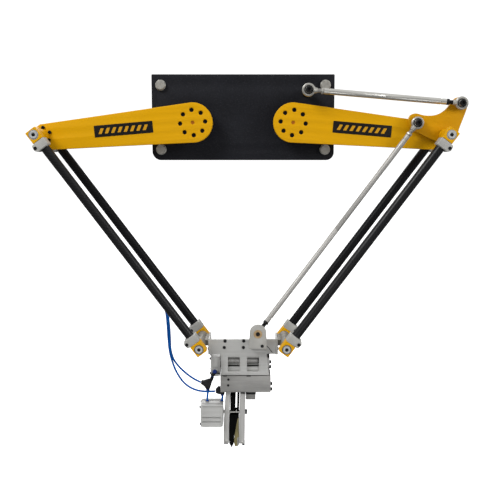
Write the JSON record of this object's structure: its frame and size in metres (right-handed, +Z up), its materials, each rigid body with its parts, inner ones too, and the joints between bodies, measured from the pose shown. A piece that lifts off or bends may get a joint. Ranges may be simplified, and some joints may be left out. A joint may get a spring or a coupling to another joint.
{
  "type": "parallel robot arm",
  "caption": "Wall-mounted two-arm planar parallel robot: tapered upper arms, paired carbon forearms, levelling tie rods and a pneumatic gripper on a level platform.",
  "frame": {"origin": "centre of the base plate's back face, where the robot bolts to its frame", "axes": "+Z up, +X to the robot's right as seen from the front, the front faces -Y, so the links move in planes parallel to X-Z"},
  "size_m": [0.8627, 0.2388, 0.7675],
  "materials": {
    "powder_black": "textured powder coat, charcoal",
    "bolt_steel": "ground and polished",
    "motor_paint": "satin dark",
    "black_steel": "black oxide",
    "yellow_paint": "semi-gloss yellow orange",
    "zinc": "zinc plated",
    "carbon": "satin carbon fibre composite",
    "aluminium": "machined and lightly brushed",
    "black_rubber": "matte",
    "pad_urethane": "cast polyurethane",
    "black_plastic": "moulded",
    "blue_hose": "extruded polyurethane tube"
  },
  "bodies": {
    "base": {"base_plate": "powder_black", "mounting_bolt_top_left": "bolt_steel", "mounting_bolt_top_right": "bolt_steel", "mounting_bolt_bottom_left": "bolt_steel", "mounting_bolt_bottom_right": "bolt_steel", "left_geared_motor": "motor_paint", "right_geared_motor": "motor_paint", "tie_rod_post": "black_steel"},
    "right_upper_arm": {"right_upper_arm": "yellow_paint", "right_output_flange": "black_steel", "right_elbow_housing": "aluminium"},
    "left_upper_arm": {"left_upper_arm": "yellow_paint", "left_output_flange": "black_steel", "left_elbow_housing": "aluminium", "left_elbow_shaft": "bolt_steel"},
    "bell_crank": {"bell_crank": "yellow_paint", "crank_top_bolt": "black_steel"},
    "crank_lower_bolt": {"crank_lower_bolt": "black_steel"},
    "upper_tie_rod": {"upper_tie_rod_end_a": "zinc", "upper_tie_rod_end_b": "zinc", "upper_tie_rod_sleeve": "bolt_steel"},
    "lower_tie_rod": {"lower_tie_rod_end_a": "zinc", "lower_tie_rod_end_b": "zinc", "lower_tie_rod_sleeve": "bolt_steel"},
    "right_elbow_shaft": {"right_elbow_shaft": "bolt_steel"},
    "right_forearm": {"right_front_tube": "carbon", "right_back_tube": "carbon", "right_front_elbow_knuckle": "yellow_paint", "right_front_wrist_knuckle": "yellow_paint", "right_back_elbow_knuckle": "yellow_paint", "right_back_wrist_knuckle": "yellow_paint"},
    "left_forearm": {"left_front_tube": "carbon", "left_back_tube": "carbon", "left_front_elbow_knuckle": "yellow_paint", "left_front_wrist_knuckle": "yellow_paint", "left_back_elbow_knuckle": "yellow_paint", "left_back_wrist_knuckle": "yellow_paint"},
    "right_wrist_shaft": {"right_wrist_shaft": "bolt_steel"},
    "left_wrist_shaft": {"left_wrist_shaft": "bolt_steel"},
    "platform": {"platform_plate": "aluminium", "left_end_bracket": "aluminium", "right_end_bracket": "aluminium", "clevis_lug": "aluminium", "upper_block": "aluminium", "upper_cylinder": "aluminium", "lower_block": "aluminium", "guide_rail": "black_steel", "left_finger": "aluminium", "left_jaw": "black_rubber", "lower_cylinder": "aluminium", "fitting_upper": "black_plastic", "fitting_lower": "black_plastic", "air_hose_upper": "blue_hose", "air_hose_lower": "blue_hose"},
    "gripper_jaw": {"right_finger": "aluminium", "guide_carriage": "aluminium", "right_jaw_pad": "pad_urethane", "lower_piston_rod": "bolt_steel", "upper_piston_rod": "bolt_steel"}
  },
  "joints": [
    {"name": "right_shoulder", "type": "hinge", "parent": "base", "child": "right_upper_arm", "pos_m": [0.1, -0.05, -0.012], "axis": [0, -1, 0], "range_deg": [-8, 8]},
    {"name": "left_shoulder", "type": "hinge", "parent": "base", "child": "left_upper_arm", "pos_m": [-0.1, -0.05, -0.012], "axis": [0, 1, 0], "range_deg": [-8, 8]},
    {"name": "crank_hold", "type": "hinge", "parent": "right_upper_arm", "child": "bell_crank", "pos_m": [0.3989, -0.05, -0.03762], "axis": [0, -1, 0], "range_deg": [-8, 8]},
    {"name": "upper_tie_rod_turn", "type": "hinge", "parent": "base", "child": "upper_tie_rod", "pos_m": [0.1284, -0.05, 0.0502], "axis": [0, -1, 0], "range_deg": [-8, 8]},
    {"name": "right_elbow_first", "type": "hinge", "parent": "bell_crank", "child": "right_elbow_shaft", "pos_m": [0.3989, -0.05, -0.03762], "axis": [0, -1, 0], "range_deg": [-4, 4]},
    {"name": "right_elbow_second", "type": "hinge", "parent": "right_elbow_shaft", "child": "right_forearm", "pos_m": [0.3989, -0.05, -0.03762], "axis": [0, -1, 0], "range_deg": [-4.5, 4.5]},
    {"name": "lower_tie_rod_first", "type": "hinge", "parent": "bell_crank", "child": "crank_lower_bolt", "pos_m": [0.3423, -0.05, -0.01362], "axis": [0, -1, 0], "range_deg": [-4, 4]},
    {"name": "lower_tie_rod_second", "type": "hinge", "parent": "crank_lower_bolt", "child": "lower_tie_rod", "pos_m": [0.3423, -0.05, -0.01362], "axis": [0, -1, 0], "range_deg": [-4.5, 4.5]},
    {"name": "right_wrist_first", "type": "hinge", "parent": "right_forearm", "child": "right_wrist_shaft", "pos_m": [0.0867, -0.05, -0.45741], "axis": [0, -1, 0], "range_deg": [-4, 4]},
    {"name": "right_wrist_second", "type": "hinge", "parent": "right_wrist_shaft", "child": "platform", "pos_m": [0.0867, -0.05, -0.45741], "axis": [0, -1, 0], "range_deg": [-4.5, 4.5]},
    {"name": "left_wrist_first", "type": "hinge", "parent": "platform", "child": "left_wrist_shaft", "pos_m": [-0.0867, -0.05, -0.45741], "axis": [0, -1, 0], "range_deg": [-4.5, 4.5]},
    {"name": "left_wrist_second", "type": "hinge", "parent": "left_wrist_shaft", "child": "left_forearm", "pos_m": [-0.0867, -0.05, -0.45741], "axis": [0, -1, 0], "range_deg": [-4, 4]},
    {"name": "gripper_slide", "type": "slide", "parent": "platform", "child": "gripper_jaw", "axis": [1, 0, 0], "range_m": [0, 0.012]}
  ],
  "couplings": [
    {"joint": "crank_hold", "follows": "right_shoulder", "ratio": -1},
    {"joint": "upper_tie_rod_turn", "follows": "right_shoulder", "ratio": 1},
    {"joint": "right_elbow_first", "follows": "right_shoulder", "ratio": 0.472},
    {"joint": "right_elbow_second", "follows": "left_shoulder", "ratio": -0.533},
    {"joint": "lower_tie_rod_first", "follows": "right_shoulder", "ratio": 0.472},
    {"joint": "lower_tie_rod_second", "follows": "left_shoulder", "ratio": -0.533},
    {"joint": "right_wrist_first", "follows": "right_shoulder", "ratio": -0.472},
    {"joint": "right_wrist_second", "follows": "left_shoulder", "ratio": 0.533},
    {"joint": "left_wrist_first", "follows": "right_shoulder", "ratio": 0.533},
    {"joint": "left_wrist_second", "follows": "left_shoulder", "ratio": -0.472}
  ]
}
